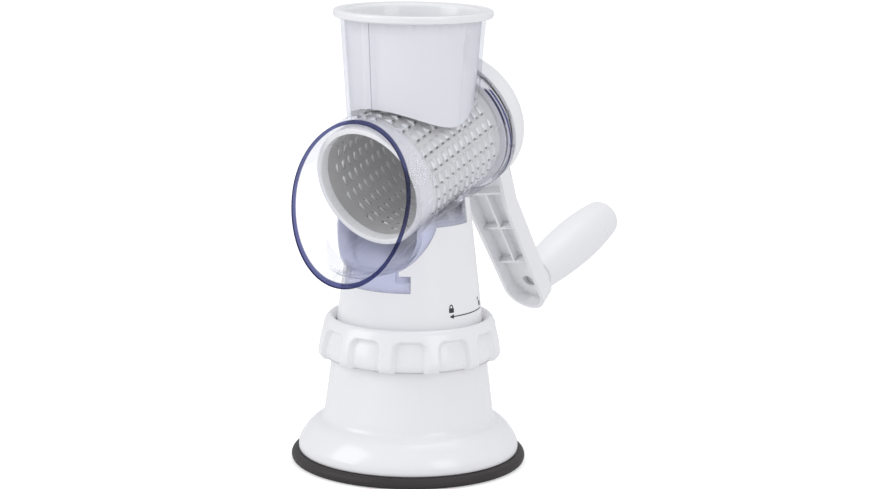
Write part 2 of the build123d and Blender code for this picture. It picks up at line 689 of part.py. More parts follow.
with BuildPart() as pusher:
    add(
        turned(
            [
                (0, AXIS_Z),
                (hopper_radius(AXIS_Z, cup_gap), AXIS_Z),
                (hopper_radius(HOPPER_RIM_Z, cup_gap), HOPPER_RIM_Z),
                (PUSHER_RIM_R, HOPPER_RIM_Z),
                (PUSHER_RIM_R, cup_top),
                (0, cup_top),
            ]
        )
    )
    rim_edges = pusher.edges().filter_by(GeomType.CIRCLE).filter_by(lambda edge: edge.radius > HOPPER_R)
    fillet(rim_edges, PUSHER_RIM_ROUND)
    add(below_pusher(0), mode=Mode.SUBTRACT)
    with BuildPart(mode=Mode.PRIVATE) as hollow:
        inside = cup_gap + PUSHER_WALL
        flare_z = cup_top - PUSHER_FLARE_H
        add(
            turned(
                [
                    (0, AXIS_Z),
                    (hopper_radius(AXIS_Z, inside), AXIS_Z),
                    (hopper_radius(flare_z, inside), flare_z),
                    (hopper_radius(cup_top, inside) + PUSHER_FLARE, cup_top),
                    (0, cup_top),
                ]
            )
        )
        add(below_pusher(PUSHER_FLOOR), mode=Mode.SUBTRACT)
    add(hollow.part, mode=Mode.SUBTRACT)
save(pusher, "pusher")

# ------------------------------------------------------------------------- drum
sheet_front = RING_FRONT - DRUM_RING_LIP
row_plane = Plane(origin=barrel.origin, x_dir=barrel.z_dir, z_dir=barrel.y_dir)
with BuildPart() as even_row:
    with BuildSketch(row_plane.offset(DRUM_INNER_R - DRUM_SHEET)):
        for step in range(TEETH_PER_ROW):
            with Locations((TOOTH_ROW_START - step * TOOTH_PITCH, 0)):
                SlotOverall(TOOTH_LEN, TOOTH_W, rotation=90)
    extrude(amount=3 * DRUM_SHEET)
odd_row = even_row.part.moved(Location(barrel.z_dir * (-TOOTH_PITCH / 2)))
rows = []
for step in range(TOOTH_ROWS):
    row = even_row.part if step % 2 == 0 else odd_row
    rows.append(row.rotate(barrel_axis, FULL_TURN / TOOTH_ROWS * step))
with BuildPart() as drum_sleeve:
    add(
        along_barrel(
            [
                (sheet_front, DRUM_INNER_R),
                (sheet_front, DRUM_R),
                (-DRUM_BACK, DRUM_R),
                (-DRUM_BACK, DRUM_INNER_R),
            ]
        )
    )
    add(rows, mode=Mode.SUBTRACT)
save(drum_sleeve, "drum_sleeve")

with BuildPart() as drum_front_ring:
    add(
        along_barrel(
            [
                (RING_FRONT - DRUM_RING_LEN, DRUM_R + PRESS_GAP),
                (RING_FRONT - DRUM_RING_LEN, DRUM_RING_R),
                (RING_FRONT, DRUM_RING_R),
                (RING_FRONT, RING_LIP_FRONT_R),
                (sheet_front, RING_LIP_R),
                (sheet_front, DRUM_R + PRESS_GAP),
            ]
        )
    )
save(drum_front_ring, "drum_front_ring")

hub_back = DRUM_BACK - HUB_INSET
hub_rim_r = DRUM_INNER_R - PRESS_GAP
with BuildPart() as drum_rear_hub:
    with BuildSketch(barrel.offset(-hub_back)):
        Circle(hub_rim_r)
        with PolarLocations((HUB_BOSS_R + hub_rim_r) / 2, HUB_SPOKES):
            Circle(HUB_HOLE_R, mode=Mode.SUBTRACT)
    extrude(amount=HUB_WEB_T)
    with BuildSketch(barrel.offset(-hub_back)):
        Circle(hub_rim_r)
        Circle(hub_rim_r - HUB_RIM_T, mode=Mode.SUBTRACT)
    extrude(amount=HUB_RIM_LEN)
    with BuildSketch(barrel.offset(-hub_back)):
        Circle(HUB_BOSS_R)
    extrude(amount=HUB_BOSS_LEN)
    with BuildSketch(barrel.offset(-hub_back)):
        Rectangle(SHAFT_SQUARE + 2 * PRESS_GAP, SHAFT_SQUARE + 2 * PRESS_GAP)
    extrude(amount=HUB_BOSS_LEN - HUB_WEB_T, mode=Mode.SUBTRACT)
save(drum_rear_hub, "drum_rear_hub")

# -------------------------------------------------- bearing plate, bush and shaft
plate_front = DRUM_BACK + PLATE_FRONT_GAP
plate_back = plate_front + PLATE_T
bush_back = plate_front + BUSH_LEN
bush_r = SHAFT_R + SHAFT_GAP + BUSH_WALL
plate_r = barrel_radius(-BARREL_BACK, CLEAR_WALL) - PRESS_GAP
rim_back = BARREL_BACK + LUG_LEN - LUG_T / 4
with BuildPart() as bearing_plate:
    add(
        along_barrel(
            [
                (-plate_front, bush_r + PRESS_GAP),
                (-plate_front, barrel_radius(-plate_front, CLEAR_WALL) - PRESS_GAP),
                (-plate_back, barrel_radius(-plate_front, CLEAR_WALL) - PRESS_GAP),
                (-rim_back, plate_r),
                (-rim_back, plate_r - PLATE_RIM_T),
                (-plate_back, plate_r - PLATE_RIM_T),
                (-plate_back, BUSH_FLANGE_R),
                (BUSH_FLANGE_T - bush_back, BUSH_FLANGE_R),
                (BUSH_FLANGE_T - bush_back, bush_r + PRESS_GAP),
            ]
        )
    )
save(bearing_plate, "bearing_plate")

with BuildPart() as shaft_bush:
    add(
        along_barrel(
            [
                (-plate_front, SHAFT_R + SHAFT_GAP),
                (-plate_front, bush_r),
                (BUSH_FLANGE_T - bush_back, bush_r),
                (BUSH_FLANGE_T - bush_back, BUSH_FLANGE_R),
                (-bush_back, BUSH_FLANGE_R),
                (-bush_back, SHAFT_R + SHAFT_GAP),
            ]
        )
    )
save(shaft_bush, "shaft_bush")

boss_front = bush_back + HEAD_BOSS_GAP
socket_back = HEAD_BACK - HUB_CAP_T - HUB_SCREW_HEAD_H - HEAD_WALL
with BuildPart() as drive_shaft:
    with BuildSketch(barrel.offset(-hub_back)):
        Circle(SHAFT_R)
    extrude(amount=hub_back - boss_front)
    with BuildSketch(barrel.offset(-hub_back)):
        Rectangle(SHAFT_SQUARE, SHAFT_SQUARE)
    extrude(amount=HUB_BOSS_LEN - HUB_WEB_T - SHAFT_GAP)
    with BuildSketch(barrel.offset(-boss_front)):
        Rectangle(SHAFT_SQUARE, SHAFT_SQUARE)
    extrude(amount=boss_front - socket_back)
    with BuildSketch(barrel.offset(-socket_back)):
        Circle(HUB_SCREW_R)
    extrude(amount=HUB_SCREW_LEN - HEAD_WALL, mode=Mode.SUBTRACT)
save(drive_shaft, "drive_shaft")

# ------------------------------------------------------------------------ crank
# A domed head over the back of the barrel and an arm in one moulding. The arm
# leans back, so that it passes behind the hopper, and is a channel open towards
# the barrel, stiffened by ribs.


def arm_outline(inset):
    """Sketch of the arm: two tapering links, from the hub to the bend and on to the end."""
    stations = [
        ((0, 0), ARM_ROOT_R),
        ((ARM_BEND_X, -ARM_BEND_AT), ARM_BEND_R),
        ((ARM_END_X, -ARM_LENGTH), ARM_END_R),
    ]
    with BuildSketch(Plane.XY) as outline:
        for near, far in zip(stations[:-1], stations[1:]):
            with BuildSketch(mode=Mode.PRIVATE) as link:
                for place, radius in (near, far):
                    with Locations(place):
                        Circle(radius - inset)
                make_hull()
            add(link.sketch)
    return outline.sketch


def head_solid(inset, front):
    """Domed head as a solid, less an inset, from its rim to its back."""
    with BuildPart() as shape:
        with BuildSketch(lengthways):
            with BuildLine():
                straight = HEAD_FRONT + HEAD_STRAIGHT
                back = HEAD_BACK - inset
                Polyline((-back, 0), (-front, 0), (-front, HEAD_R - inset), (-straight, HEAD_R - inset))
                EllipticalCenterArc(
                    (-straight, HEAD_BACK_R),
                    back - straight,
                    HEAD_R - inset - HEAD_BACK_R,
                    start_angle=QUARTER_TURN,
                    arc_size=QUARTER_TURN,
                )
                Line((-back, HEAD_BACK_R), (-back, 0))
            make_face()
        revolve(axis=barrel_axis)
    return shape.part


arm_mouth = Plane(barrel.offset(-CRANK_MOUTH).location * Rotation(ARM_LEAN, 0, 0))
last_rib = ARM_RIB_FIRST + (ARM_CROSS_RIBS - 1) * ARM_RIB_PITCH
with BuildPart() as behind_head_rim:
    add(behind_barrel(HEAD_FRONT + HEAD_WALL, 2 * ARM_LENGTH))
with BuildPart() as crank:
    add(head_solid(0, HEAD_FRONT))
    with BuildPart(mode=Mode.PRIVATE) as arm:
        with BuildSketch(arm_mouth):
            add(arm_outline(0))
        extrude(amount=-ARM_POCKET - ARM_WEB_T)
        add(behind_head_rim.part, mode=Mode.INTERSECT)
        with BuildSketch(barrel.offset(-ARM_BOSS_BACK)):
            with Locations((ARM_X, ARM_UP)):
                Circle(ARM_BOSS_R)
        extrude(amount=ARM_BOSS_BACK - ARM_FLOOR)
        with BuildSketch(arm_mouth):
            add(arm_outline(ARM_WALL))
        extrude(amount=-ARM_POCKET, mode=Mode.SUBTRACT)
    add(arm.part)
    add(head_solid(0, HEAD_FRONT))
    with BuildPart(mode=Mode.PRIVATE) as ribs:
        with BuildSketch(arm_mouth.offset(-ARM_RIB_DROP)):
            for step in range(ARM_CROSS_RIBS):
                down = ARM_RIB_FIRST + step * ARM_RIB_PITCH
                with Locations((ARM_BEND_X + (down - ARM_BEND_AT) * ARM_SLANT, -down)):
                    Rectangle(2 * ARM_ROOT_R, ARM_RIB_T, rotation=ARM_RIB_TILT)
            middle = (ARM_RIB_FIRST + last_rib) / 2
            with Locations((ARM_BEND_X + (middle - ARM_BEND_AT) * ARM_SLANT, -middle)):
                Rectangle(ARM_RIB_T, last_rib - ARM_RIB_FIRST, rotation=degrees(atan(ARM_SLANT)))
        extrude(amount=ARM_RIB_DROP - ARM_POCKET - ARM_WEB_T / 2)
        with BuildSketch(arm_mouth):
            add(arm_outline(ARM_WALL / 2))
        extrude(amount=-ARM_POCKET - ARM_WEB_T, mode=Mode.INTERSECT)
        add(head_solid(HEAD_WALL / 2, HEAD_FRONT), mode=Mode.SUBTRACT)
        add(behind_head_rim.part, mode=Mode.INTERSECT)
    add(ribs.part)
    add(head_solid(HEAD_WALL, 0), mode=Mode.SUBTRACT)
    with BuildSketch(barrel.offset(-boss_front)):
        Circle(HEAD_BOSS_R)
    extrude(amount=boss_front - HEAD_BACK + HEAD_WALL / 2)
    with BuildSketch(barrel.offset(-boss_front)):
        Rectangle(SHAFT_SQUARE + 2 * PRESS_GAP, SHAFT_SQUARE + 2 * PRESS_GAP)
    extrude(amount=boss_front - socket_back, mode=Mode.SUBTRACT)
    with BuildSketch(barrel.offset(-HEAD_BACK)):
        Circle(HUB_SCREW_R + PRESS_GAP)
    extrude(amount=HEAD_BACK - boss_front, mode=Mode.SUBTRACT)
    with BuildSketch(barrel.offset(-HEAD_BACK)):
        Circle(HUB_SCREW_HEAD_R + PRESS_GAP)
    extrude(amount=HUB_CAP_T + HUB_SCREW_HEAD_H, mode=Mode.SUBTRACT)
    with BuildSketch(barrel.offset(-HEAD_BACK)):
        Circle(HUB_CAP_R + PRESS_GAP)
    extrude(amount=HUB_CAP_T, mode=Mode.SUBTRACT)
    with BuildSketch(barrel.offset(-ARM_BOSS_BACK)):
        with Locations((ARM_X, ARM_UP)):
            Circle(GRIP_BORE_R)
    extrude(amount=ARM_BOSS_BACK - ARM_MOUTH, mode=Mode.SUBTRACT)
save(crank, "crank")

with BuildPart() as hub_screw:
    with BuildSketch(barrel.offset(-HEAD_BACK + HUB_CAP_T)):
        Circle(HUB_SCREW_HEAD_R)
    extrude(amount=HUB_SCREW_HEAD_H)
    with BuildSketch(barrel.offset(-HEAD_BACK + HUB_CAP_T + HUB_SCREW_HEAD_H)):
        Circle(HUB_SCREW_R)
    extrude(amount=HUB_SCREW_LEN)
save(hub_screw, "hub_screw")

with BuildPart() as hub_cap:
    with BuildSketch(barrel.offset(-HEAD_BACK)):
        Circle(HUB_CAP_R)
    extrude(amount=HUB_CAP_T)
    fillet(hub_cap.faces().sort_by(barrel_axis)[0].edges(), HUB_CAP_T / 3)
save(hub_cap, "hub_cap")

# ------------------------------------------------------------------------- grip
# A swelling handle that turns on a headed spindle pressed into the arm. A plug
# closes its tail.
grip_origin = barrel.origin + barrel.x_dir * ARM_X + barrel.y_dir * ARM_UP
grip_axis = Axis(grip_origin, barrel.z_dir)
grip_lengthways = Plane(origin=grip_origin, x_dir=barrel.z_dir, z_dir=(-1, 0, 0))
grip_back = GRIP_FRONT + GRIP_LEN
belly = GRIP_FRONT + GRIP_LEN * GRIP_BELLY_AT
spindle_front = ARM_FLOOR + GRIP_PIN_RECESS
head_seat = grip_back - GRIP_TAIL_WALL
plug_seat = grip_back - GRIP_PLUG_T


def along_grip(points):
    """Solid turned about the grip's axis from points (along, radius)."""
    return turned(points, grip_lengthways, grip_axis)


with BuildPart() as grip:
    with BuildSketch(grip_lengthways):
        with BuildLine():
            Polyline((-grip_back, 0), (-GRIP_FRONT, 0), (-GRIP_FRONT, GRIP_NECK_R))
            Spline(
                (-GRIP_FRONT, GRIP_NECK_R),
                (-belly, GRIP_BELLY_R),
                (-grip_back, GRIP_TAIL_R),
                tangents=[(-1, GRIP_NECK_SLOPE), (-1, -GRIP_TAIL_SLOPE)],
            )
            Line((-grip_back, GRIP_TAIL_R), (-grip_back, 0))
        make_face()
    revolve(axis=grip_axis)
    fillet(grip.edges().filter_by(GeomType.CIRCLE).sort_by(grip_axis)[0], GRIP_TAIL_ROUND)
    bore_r = GRIP_SPINDLE_R + RUN_GAP
    chamber_r = GRIP_SPINDLE_HEAD_R + GRIP_GAP
    plug_r = GRIP_PLUG_R + PRESS_GAP
    add(
        along_grip(
            [
                (-GRIP_FRONT, 0),
                (-GRIP_FRONT, bore_r),
                (-head_seat, bore_r),
                (-head_seat, chamber_r),
                (-plug_seat, chamber_r),
                (-plug_seat, plug_r),
                (-grip_back, plug_r),
                (-grip_back, 0),
            ]
        ),
        mode=Mode.SUBTRACT,
    )
save(grip, "grip")

with BuildPart() as grip_spindle:
    seat = head_seat + GRIP_GAP / 2
    add(
        along_grip(
            [
                (-spindle_front, 0),
                (-spindle_front, GRIP_SPINDLE_R),
                (-seat, GRIP_SPINDLE_R),
                (-seat, GRIP_SPINDLE_HEAD_R),
                (-seat - GRIP_SPINDLE_HEAD_T, GRIP_SPINDLE_HEAD_R),
                (-seat - GRIP_SPINDLE_HEAD_T, 0),
            ]
        )
    )
save(grip_spindle, "grip_spindle")

with BuildPart() as grip_plug:
    add(along_grip([(-plug_seat, 0), (-plug_seat, GRIP_PLUG_R), (-grip_back, GRIP_PLUG_R), (-grip_back, 0)]))
    fillet(grip_plug.edges().filter_by(GeomType.CIRCLE).sort_by(grip_axis)[0], GRIP_PLUG_T / 3)
save(grip_plug, "grip_plug")
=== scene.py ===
import math

import bmesh
import bpy
import numpy as np
from mathutils import Matrix, Vector


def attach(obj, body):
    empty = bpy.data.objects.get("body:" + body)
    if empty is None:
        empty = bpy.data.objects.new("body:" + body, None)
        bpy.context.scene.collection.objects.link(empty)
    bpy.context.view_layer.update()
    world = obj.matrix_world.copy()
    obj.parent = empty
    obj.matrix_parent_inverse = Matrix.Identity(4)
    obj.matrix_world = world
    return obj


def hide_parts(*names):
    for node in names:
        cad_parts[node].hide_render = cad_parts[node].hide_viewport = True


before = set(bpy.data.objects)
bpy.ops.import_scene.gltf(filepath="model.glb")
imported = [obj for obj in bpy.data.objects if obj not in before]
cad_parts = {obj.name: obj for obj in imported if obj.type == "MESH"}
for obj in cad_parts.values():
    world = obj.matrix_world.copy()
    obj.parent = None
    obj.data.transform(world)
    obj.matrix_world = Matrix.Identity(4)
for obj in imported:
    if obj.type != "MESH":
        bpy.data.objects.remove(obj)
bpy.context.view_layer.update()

# ------------------------------------------------------------------ suction pad
# A thick disc of soft dark rubber under the whole base. It is pressed in one
# piece, with a rounded rolled edge and a shallow hollow underneath that grips.
MM = 0.001
RUBBER = (0.02, 0.0165, 0.0165, 1.0)
PAD_OUTLINE = [
    (0.0, 1.1), (30.0, 0.9), (50.0, 0.35), (57.5, 0.0), (61.4, 0.0), (62.5, 0.7), (63.0, 2.0),
    (62.9, 3.5), (62.2, 4.8), (60.8, 5.5), (58.6, 5.6), (18.0, 5.6), (17.9, 8.6), (0.0, 8.75),
]


def smooth_path(points, steps):
    """Points along a Catmull-Rom curve: between each pair, a cubic that leaves and arrives along
    half the chord between the neighbours on either side. steps points to a span."""
    p = np.asarray(points, float)
    padded = np.vstack([2 * p[:1] - p[1:2], p, 2 * p[-1:] - p[-2:-1]])
    t = np.linspace(0, 1, steps, endpoint=False)[None, :, None]
    a, b, c, d = (padded[k : k + len(p) - 1][:, None, :] for k in range(4))
    curve = 0.5 * (2 * b + (c - a) * t + (2 * a - 5 * b + 4 * c - d) * t**2 + (3 * b - a - 3 * c + d) * t**3)
    return np.vstack([curve.reshape(-1, p.shape[1]), p[-1:]])


def rounded(points, cut, steps=5):
    """A polyline whose inner corners are cut back by up to cut along both legs and bridged by the
    parabola (1-t)^2 start + 2t(1-t) corner + t^2 end."""
    p = np.asarray(points, float)
    before, corner, after = p[:-2], p[1:-1], p[2:]
    cuts = np.broadcast_to(np.asarray(cut, float), (len(corner),))[:, None]
    back, ahead = before - corner, after - corner
    long_back = np.linalg.norm(back, axis=1, keepdims=True)
    long_ahead = np.linalg.norm(ahead, axis=1, keepdims=True)
    reach = np.minimum(cuts, 0.48 * np.minimum(long_back, long_ahead))
    start, end = corner + back / long_back * reach, corner + ahead / long_ahead * reach
    t = np.linspace(0, 1, steps)[None, :, None]
    bend = (1 - t) ** 2 * start[:, None] + 2 * t * (1 - t) * corner[:, None] + t**2 * end[:, None]
    return np.vstack([p[:1], bend.reshape(-1, p.shape[1]), p[-1:]])


def surface(name, points, round_rows=False, round_columns=False, sharp=40.0):
    """Mesh over a grid of points in millimetres. Rows or columns may close round, points that meet
    are joined, and edges that turn by more than the sharp angle stay crisp."""
    rows, columns = points.shape[:2]
    ids = np.arange(rows * columns).reshape(rows, columns)
    if round_rows:
        ids = np.vstack([ids, ids[:1]])
    if round_columns:
        ids = np.hstack([ids, ids[:, :1]])
    faces = np.stack([ids[:-1, :-1], ids[1:, :-1], ids[1:, 1:], ids[:-1, 1:]], axis=-1).reshape(-1, 4)
    mesh = bpy.data.meshes.new(name)
    mesh.from_pydata(points.reshape(-1, 3) * MM, [], faces)
    finish_mesh(mesh, sharp)
    piece = bpy.data.objects.new(name, mesh)
    bpy.context.collection.objects.link(piece)
    return piece


def finish_mesh(mesh, sharp):
    """Joins points that meet, turns every face outwards and shades smooth up to the sharp angle."""
    work = bmesh.new()
    work.from_mesh(mesh)
    bmesh.ops.remove_doubles(work, verts=work.verts, dist=2e-6)
    bmesh.ops.dissolve_degenerate(work, edges=work.edges, dist=1e-7)
    bmesh.ops.recalc_face_normals(work, faces=work.faces)
    work.to_mesh(mesh)
    work.free()
    mesh.polygons.foreach_set("use_smooth", np.ones(len(mesh.polygons), bool))
    mesh.set_sharp_from_angle(angle=math.radians(sharp))
    mesh.update()


def turned(name, outline, steps=160, sharp=40.0):
    """Surface of revolution: each outline point (radius, height) swept round Z as
    (r cos a, r sin a, z) with a from 0 to a full turn."""
    outline = np.asarray(outline, float)
    angle = np.linspace(0, 2 * math.pi, steps, endpoint=False)[:, None]
    radius, height = outline[None, :, 0], outline[None, :, 1]
    points = np.stack(
        np.broadcast_arrays(radius * np.cos(angle), radius * np.sin(angle), height + 0 * angle), axis=-1
    )
    return surface(name, points, round_rows=True, sharp=sharp)


def node(tree, kind, **inputs):
    """A shader node with some of its sockets set to values, or linked where a socket is given."""
    made = tree.nodes.new("ShaderNode" + kind)
    for key, value in inputs.items():
        socket = made.inputs[key.replace("_", " ")]
        if isinstance(value, bpy.types.NodeSocket):
            tree.links.new(value, socket)
        else:
            socket.default_value = value
    return made


def blank_material(name):
    """A material with nothing but a Principled shader, and the shader's node."""
    material = bpy.data.materials.new(name)
    material.use_nodes = True
    tree = material.node_tree
    tree.nodes.clear()
    shader = tree.nodes.new("ShaderNodeBsdfPrincipled")
    output = tree.nodes.new("ShaderNodeOutputMaterial")
    tree.links.new(shader.outputs[0], output.inputs[0])
    return material, tree, shader


def tone(tree, factor, low, high):
    """Colour ramp from one colour to another along a factor socket."""
    ramp = tree.nodes.new("ShaderNodeValToRGB")
    ramp.color_ramp.elements[0].color = low
    ramp.color_ramp.elements[1].color = high
    tree.links.new(factor, ramp.inputs[0])
    return ramp.outputs[0]


def noise(tree, scale, detail=3.0, roughness=0.5):
    """Noise over the object's own coordinates; scale is in cells per metre."""
    place = tree.nodes.new("ShaderNodeTexCoord").outputs["Object"]
    made = node(tree, "TexNoise", Vector=place, Scale=scale, Detail=detail, Roughness=roughness)
    return made.outputs[0]


def spread(tree, factor, low, high):
    """Rescales a 0 to 1 factor to run from low to high."""
    made = node(tree, "MapRange", Value=factor)
    made.inputs["To Min"].default_value = low
    made.inputs["To Max"].default_value = high
    return made.outputs[0]


def bumped(tree, shader, height, strength, distance):
    """Bump from a height socket, with its depth in metres."""
    bump = node(tree, "Bump", Height=height, Strength=strength, Distance=distance)
    tree.links.new(bump.outputs[0], shader.inputs["Normal"])


def rubber_material():
    """Moulded rubber: warm black, dull, with a fine grain and faint bloom in patches."""
    material, tree, shader = blank_material("pad_rubber")
    bloom = noise(tree, 60.0, 4.0)
    warm = tuple(c * 1.5 for c in RUBBER[:3]) + (1.0,)
    tree.links.new(tone(tree, bloom, RUBBER, warm), shader.inputs["Base Color"])
    tree.links.new(spread(tree, bloom, 0.5, 0.64), shader.inputs["Roughness"])
    bumped(tree, shader, noise(tree, 1500.0, 2.0), 0.25, 0.0002)
    return material


def dress(piece, body, slot, material, *replaced):
    """Gives a new piece its material, the body it rides on, and the CAD nodes it stands for."""
    piece.data.materials.clear()
    piece.data.materials.append(material)
    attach(piece, body)
    if replaced:
        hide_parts(*replaced)
    return piece


pad = turned("pad", rounded(PAD_OUTLINE, 0.6))
dress(pad, "base", "rubber", rubber_material(), "suction_pad")

# ------------------------------------------------------------------- base shell
# A white ABS moulding over the pad: a flared flange with a soft shoulder, a
# narrow neck, and a cone up to the deck that the lock ring turns on.
WHITE = (0.86, 0.86, 0.88, 1.0)
WHITE_SHADE = (0.83, 0.832, 0.855, 1.0)
BASE_OUTSIDE = [
    (58.3, 5.6), (59.0, 6.3), (59.1, 8.2), (58.5, 11.0), (56.9, 14.1), (54.4, 17.6), (51.8, 20.3),
    (49.3, 22.0), (47.2, 23.0), (46.0, 24.3), (45.3, 27.5), (43.9, 38.0), (41.9, 54.6), (41.5, 56.6),
]
BASE_INSIDE = [
    (40.9, 57.2), (16.0, 57.2), (16.0, 54.2), (38.6, 54.2), (43.0, 24.0), (55.6, 12.0), (56.4, 5.6),
    (58.3, 5.6),
]


def moulded_white(name, grain=900.0, rough=(0.16, 0.26), coat=0.35):
    """Injection moulded ABS: a hair off white with slow drifts of tone, a gloss that wanders a
    little, and the faint orange peel that a polished mould leaves."""
    material, tree, shader = blank_material(name)
    drift = noise(tree, 26.0, 2.0)
    tree.links.new(tone(tree, drift, WHITE_SHADE, WHITE), shader.inputs["Base Color"])
    tree.links.new(spread(tree, noise(tree, 90.0), *rough), shader.inputs["Roughness"])
    shader.inputs["IOR"].default_value = 1.5
    shader.inputs["Coat Weight"].default_value = coat
    shader.inputs["Coat Roughness"].default_value = 0.06
    bumped(tree, shader, noise(tree, grain, 1.0), 0.05, 0.0002)
    return material


white_shell = moulded_white("base_white")
shell = turned("base_cover", np.vstack([smooth_path(BASE_OUTSIDE, 6), BASE_INSIDE]), 192, 50.0)
dress(shell, "base", "white_abs", white_shell, "base_shell")

# ----------------------------------------------------------------- lifting gear
# A steel stud, the pin through it and a washer raise the middle of the pad when
# the ring turns. They are turned and drawn parts, hidden inside the base.


def turned_steel(name, base, streaks=2200.0):
    """Bright turned steel: grey with fine tool marks as bands of roughness and bump."""
    material, tree, shader = blank_material(name)
    marks = noise(tree, streaks, 2.0)
    light = tuple(min(1.0, c * 1.12) for c in base[:3]) + (1.0,)
    tree.links.new(tone(tree, marks, base, light), shader.inputs["Base Color"])
    tree.links.new(spread(tree, marks, 0.22, 0.4), shader.inputs["Roughness"])
    shader.inputs["Metallic"].default_value = 1.0
    bumped(tree, shader, marks, 0.08, 0.0001)
    return material


def paint(material, *names):
    """Gives kept CAD nodes a material."""
    for name in names:
        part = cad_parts[name]
        part.data.materials.clear()
        part.data.materials.append(material)


gear_steel = turned_steel("gear_steel", (0.56, 0.56, 0.57, 1.0))
paint(gear_steel, "lift_stud", "lift_pin", "stud_washer")
paint(gear_steel, "column_screws", "drive_shaft", "hub_screw", "grip_spindle")

# -------------------------------------------------------------------- lock ring
# A thick white ring that turns on the deck under the column. Twelve soft arched
# flutes are moulded into its outside for the fingers, and its top is dished.
FLUTES = 12
FLUTE_FACING = math.radians(36.67 - 90.0)
RING_Z = 57.5
RING_OUTSIDE = [
    (45.6, 0.25), (47.4, 0.0), (48.5, 0.9), (49.3, 2.6), (49.6, 4.4), (49.2, 7.0), (48.2, 11.0), (46.9, 15.4),
    (45.6, 18.6), (44.6, 20.6), (43.4, 21.9), (42.3, 22.1), (41.3, 21.4), (40.0, 19.8), (39.4, 19.0),
]
RING_INSIDE = [(39.4, 3.8), (14.0, 3.8), (14.0, 0.2), (45.6, 0.25)]
RING_WALL_R = 44.2
WALL_FADE = 1.2
FLUTE_ARC_R = 48.0
FLUTE_HALF_W = 8.7
FLUTE_TOP = 16.2
FLUTE_CORNER = 4.2
FLUTE_DEPTH = 3.1
FLUTE_EDGE = 1.25
RIDGE_FADE = 3.0
FOOT_BAND = 2.7
FOOT_LIFT = 0.5


def fluted_ring(name, outline, steps):
    """The outline turned round Z, less a flute depth wherever a point lies inside a round-cornered
    arch. The arch's signed distance d is that of a rounded rectangle in arc length and height, and
    the depth follows a smooth step of -d/edge. The ridges between the arches lift off the deck at
    their foot."""
    outline = np.asarray(outline, float)
    angle = np.linspace(0, 2 * math.pi, steps, endpoint=False)[:, None]
    radius, height = outline[None, :, 0], outline[None, :, 1]
    pitch = 2 * math.pi / FLUTES
    arc = (np.mod(angle - FLUTE_FACING + pitch / 2, pitch) - pitch / 2) * FLUTE_ARC_R
    out_x = np.abs(arc) - (FLUTE_HALF_W - FLUTE_CORNER)
    out_z = height - (FLUTE_TOP - FLUTE_CORNER)
    away = np.hypot(np.maximum(out_x, 0), np.maximum(out_z, 0)) + np.minimum(np.maximum(out_x, out_z), 0)
    t = np.clip((FLUTE_CORNER - away) / (2 * FLUTE_EDGE) + 0.5, 0, 1)
    on_side = np.clip((radius - RING_WALL_R) / WALL_FADE, 0, 1)
    cut = FLUTE_DEPTH * t * t * (3 - 2 * t) * on_side
    ridge = np.clip((np.abs(arc) - FLUTE_HALF_W) / RIDGE_FADE, 0, 1)
    lift = np.where(height < FOOT_BAND, FOOT_LIFT * ridge * (1 - height / FOOT_BAND), 0)
    reach = radius - cut
    points = np.stack([reach * np.cos(angle), reach * np.sin(angle), RING_Z + height + lift], axis=-1)
    inner_r, inner_z = np.array(RING_INSIDE).T[:, None, :]
    inner_x, inner_y = inner_r * np.cos(angle), inner_r * np.sin(angle)
    inside = np.stack([inner_x, inner_y, RING_Z + inner_z + 0 * angle], axis=-1)
    return surface(name, np.concatenate([points, inside], axis=1), round_rows=True, sharp=48.0)


ring = fluted_ring("ring_grip", smooth_path(RING_OUTSIDE, 4), 720)
dress(ring, "lock_ring", "white_abs", moulded_white("ring_white", rough=(0.2, 0.3)), "lock_ring")

# ----------------------------------------------------------- column and its marks
# The tapering white column is one moulding. A closed padlock, an open padlock
# and an arrow between them are pad printed on its side in dark ink.
INK = (0.018, 0.018, 0.026, 1.0)
COLUMN_R = 39.0
COLUMN_CREASE_Z = 76.7
COLUMN_TAPER = 0.12
PRINT_LIFT = 0.06
PRINT_R = 38.0
STROKE = 0.3
LINE_Z = 85.0
BOW_HALF_W = 1.35
BOW_RISE = 1.15


def softened(name, cad_node, sharp=32.0):
    """A copy of a CAD node with its loose triangles joined, and shaded smooth up to an angle with
    normals that lean towards the larger faces."""
    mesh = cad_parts[cad_node].data.copy()
    mesh.name = name
    work = bmesh.new()
    work.from_mesh(mesh)
    bmesh.ops.remove_doubles(work, verts=work.verts, dist=4e-6)
    bmesh.ops.dissolve_degenerate(work, edges=work.edges, dist=1e-6)
    work.to_mesh(mesh)
    work.free()
    mesh.polygons.foreach_set("use_smooth", np.ones(len(mesh.polygons), bool))
    mesh.set_sharp_from_angle(angle=math.radians(sharp))
    piece = bpy.data.objects.new(name, mesh)
    bpy.context.collection.objects.link(piece)
    even = piece.modifiers.new("even_normals", "WEIGHTED_NORMAL")
    even.keep_sharp = True
    return piece


column = softened("column_body", "column")
dress(column, "base", "white_abs", moulded_white("column_white"), "column")


def on_column(across, z):
    """Points on the column's printed side: angle in degrees from -Y towards +X, height in mm."""
    angle = np.radians(across)
    radius = COLUMN_R - COLUMN_TAPER * np.maximum(z - COLUMN_CREASE_Z, 0) + PRINT_LIFT
    return np.stack([radius * np.sin(angle), -radius * np.cos(angle), z], axis=-1)


def print_band(name, across, z, half_w):
    """A printed line: a band half_w mm to each side of a path given as angles and heights."""
    arc = np.radians(across) * PRINT_R
    run, rise = np.gradient(arc), np.gradient(z)
    length = np.hypot(run, rise)
    side = np.stack([-rise / length, run / length], axis=-1) * half_w
    across_two = np.stack([arc - side[:, 0], arc + side[:, 0]], axis=1)
    z_two = np.stack([z - side[:, 1], z + side[:, 1]], axis=1)
    return surface(name, on_column(np.degrees(across_two / PRINT_R), z_two))


